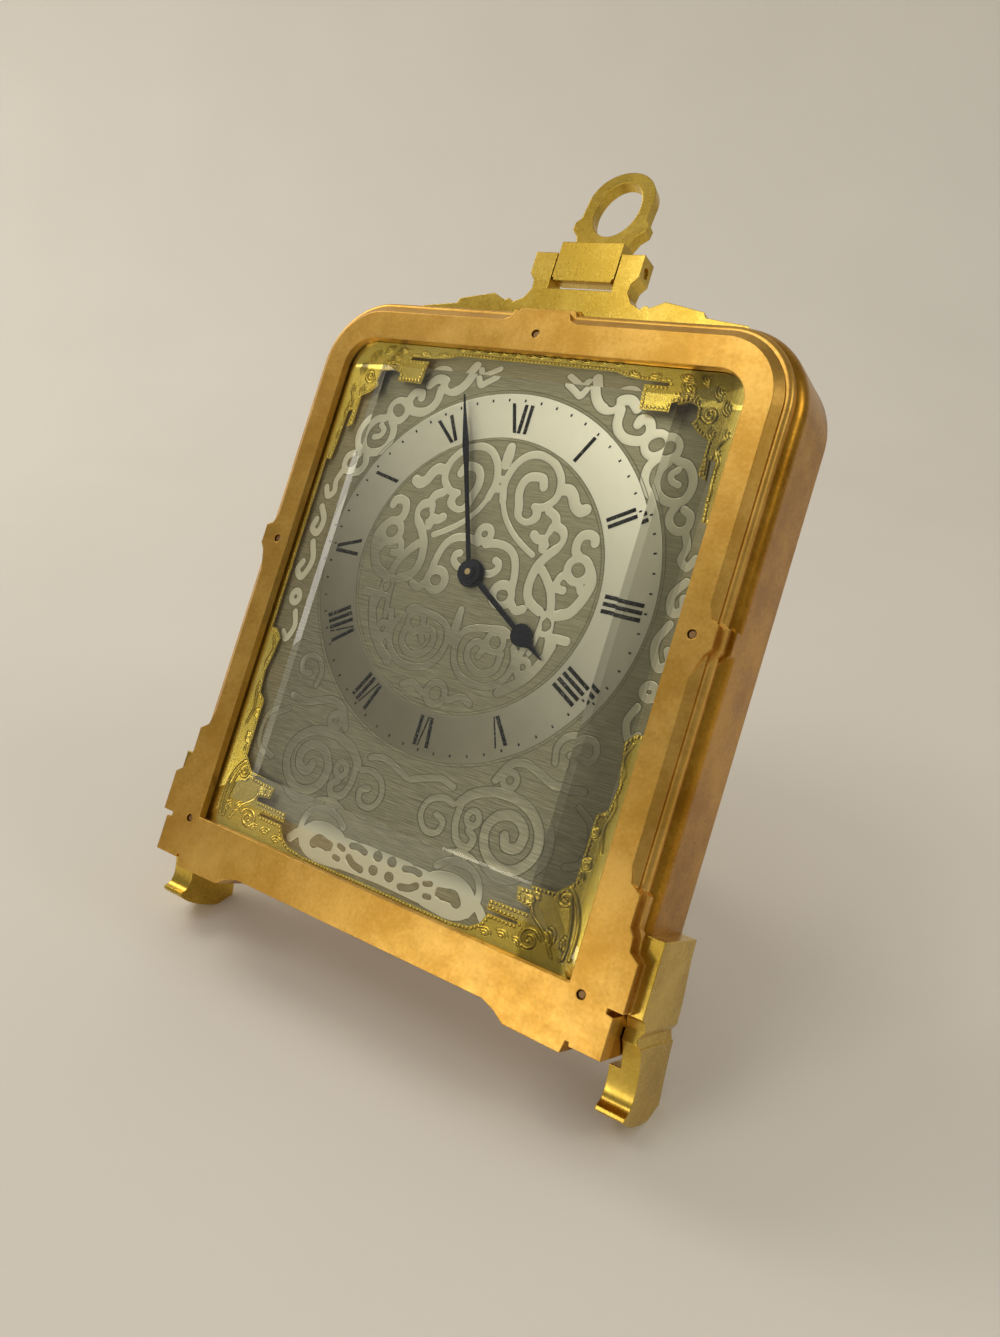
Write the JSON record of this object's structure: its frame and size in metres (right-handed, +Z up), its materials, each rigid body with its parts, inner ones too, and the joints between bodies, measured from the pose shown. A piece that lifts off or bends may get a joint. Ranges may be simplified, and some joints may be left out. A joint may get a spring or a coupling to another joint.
{
  "type": "strut clock",
  "caption": "Small gilt table clock that leans back on a folding strut, with claw feet, bevelled glass, a top loop handle and a going movement.",
  "frame": {"origin": "on the ground under the middle of the whole clock, standing on its feet and strut", "axes": "+X to the right as seen from the front, +Y to the back, +Z up; the dial faces -Y and leans back 31 degrees"},
  "size_m": [0.1024, 0.09, 0.1359],
  "materials": {
    "frame_gilt": "satin gilt with a pinkish tone",
    "foot_brass": "satin lemon gilt",
    "pin_brass": "dull brass",
    "bevelled_glass": "polished with wide bevels",
    "mask_gilt": "bright gilt with engraved scrolls and beading",
    "dial_silvered": "silvered brass, engraved and wax filled",
    "hand_blued": "dark blued steel",
    "strut_brass": "satin gilt",
    "movement_brass": "brushed brass",
    "movement_steel": "polished steel"
  },
  "bodies": {
    "case": {"front_frame": "frame_gilt", "moulding_plate": "frame_gilt", "case_body": "frame_gilt", "frame_pins": "pin_brass", "bevelled_glass": "bevelled_glass", "corner_mask": "mask_gilt", "dial_plate": "dial_silvered", "dial_feet": "movement_brass", "dial_screws": "movement_steel", "top_bracket": "foot_brass", "bracket_screws": "movement_steel", "loop_pin": "foot_brass", "foot_left": "foot_brass", "foot_right": "foot_brass", "foot_screws": "movement_steel", "back_cover": "frame_gilt", "cover_screws": "movement_steel", "strut_hinge": "strut_brass", "strut_pin": "pin_brass", "hinge_screws": "movement_steel", "front_plate": "movement_brass", "back_plate": "movement_brass", "pillars": "movement_brass", "plate_screws": "movement_steel", "click_screw": "movement_steel", "balance_cock": "movement_brass", "cock_screw": "movement_steel"},
    "strut": {"strut": "strut_brass"},
    "loop": {"loop_handle": "foot_brass"},
    "centre_arbor": {"centre_wheel": "movement_brass", "cannon_pinion": "movement_steel", "minute_hand": "hand_blued", "hand_washer": "hand_blued"},
    "barrel": {"barrel": "movement_brass", "barrel_cover": "movement_brass", "mainspring": "movement_steel"},
    "third_arbor": {"third_wheel": "movement_brass"},
    "fourth_arbor": {"fourth_wheel": "movement_brass"},
    "escape_arbor": {"escape_wheel": "movement_steel"},
    "minute_wheel": {"minute_wheel": "movement_brass"},
    "hour_pipe": {"hour_wheel": "movement_brass", "hour_hand": "hand_blued"},
    "barrel_arbor": {"barrel_arbor": "movement_steel", "ratchet_wheel": "movement_steel"},
    "click": {"click": "movement_steel"},
    "lever": {"pallet_lever": "movement_steel"},
    "balance": {"balance_wheel": "movement_brass", "balance_spring": "movement_steel"},
    "regulator": {"regulator_index": "movement_steel"}
  },
  "joints": [
    {"name": "strut_fold", "type": "hinge", "parent": "case", "child": "strut", "pos_m": [0, 0.01692, 0.08078], "axis": [1, 0, 0], "range_deg": [-41, 0]},
    {"name": "loop_swing", "type": "hinge", "parent": "case", "child": "loop", "pos_m": [0, 0.02871, 0.11943], "axis": [1, 0, 0], "range_deg": [-90, 60]},
    {"name": "centre_turn", "type": "hinge", "parent": "case", "child": "centre_arbor", "pos_m": [0, -0.00247, 0.0691], "axis": [0, 0.8572, -0.515], "continuous": true},
    {"name": "barrel_turn", "type": "hinge", "parent": "case", "child": "barrel", "pos_m": [-0.01069, -0.00712, 0.05942], "axis": [0, 0.8572, -0.515], "continuous": true},
    {"name": "third_turn", "type": "hinge", "parent": "case", "child": "third_arbor", "pos_m": [-0.00188, 0.00301, 0.07822], "axis": [0, 0.8572, -0.515], "continuous": true},
    {"name": "fourth_turn", "type": "hinge", "parent": "case", "child": "fourth_arbor", "pos_m": [0.0075, 0.00386, 0.07963], "axis": [0, 0.8572, -0.515], "continuous": true},
    {"name": "escape_turn", "type": "hinge", "parent": "case", "child": "escape_arbor", "pos_m": [0.01259, 0.00295, 0.07424], "axis": [0, 0.8572, -0.515], "continuous": true},
    {"name": "minute_wheel_turn", "type": "hinge", "parent": "case", "child": "minute_wheel", "pos_m": [0.00727, -0.00806, 0.06756], "axis": [0, 0.8572, -0.515], "continuous": true},
    {"name": "hour_turn", "type": "hinge", "parent": "case", "child": "hour_pipe", "pos_m": [0, -0.00675, 0.07167], "axis": [0, 0.8572, -0.515], "continuous": true},
    {"name": "winding_turn", "type": "hinge", "parent": "case", "child": "barrel_arbor", "pos_m": [-0.01069, -0.00369, 0.05736], "axis": [0, 0.8572, -0.515], "continuous": true},
    {"name": "click_lift", "type": "hinge", "parent": "case", "child": "click", "pos_m": [-0.01727, -0.00078, 0.06278], "axis": [0, 0.8572, -0.515], "range_deg": [0, 12]},
    {"name": "lever_rock", "type": "hinge", "parent": "case", "child": "lever", "pos_m": [0.01529, 0.00097, 0.06997], "axis": [0, 0.8572, -0.515], "range_deg": [-4, 4]},
    {"name": "balance_swing", "type": "hinge", "parent": "case", "child": "balance", "pos_m": [0.01929, -0.00045, 0.06275], "axis": [0, 0.8572, -0.515], "range_deg": [-135, 135], "stiffness_Nm_per_rad": 0.000002},
    {"name": "regulator_shift", "type": "hinge", "parent": "case", "child": "regulator", "pos_m": [0.01929, 0.00092, 0.06192], "axis": [0, 0.8572, -0.515], "range_deg": [-15, 15]}
  ],
  "couplings": [
    {"joint": "barrel_turn", "follows": "centre_turn", "ratio": -0.16667},
    {"joint": "third_turn", "follows": "centre_turn", "ratio": -8},
    {"joint": "fourth_turn", "follows": "centre_turn", "ratio": 60},
    {"joint": "escape_turn", "follows": "centre_turn", "ratio": -480},
    {"joint": "minute_wheel_turn", "follows": "centre_turn", "ratio": -0.33333},
    {"joint": "hour_turn", "follows": "centre_turn", "ratio": 0.083333}
  ]
}
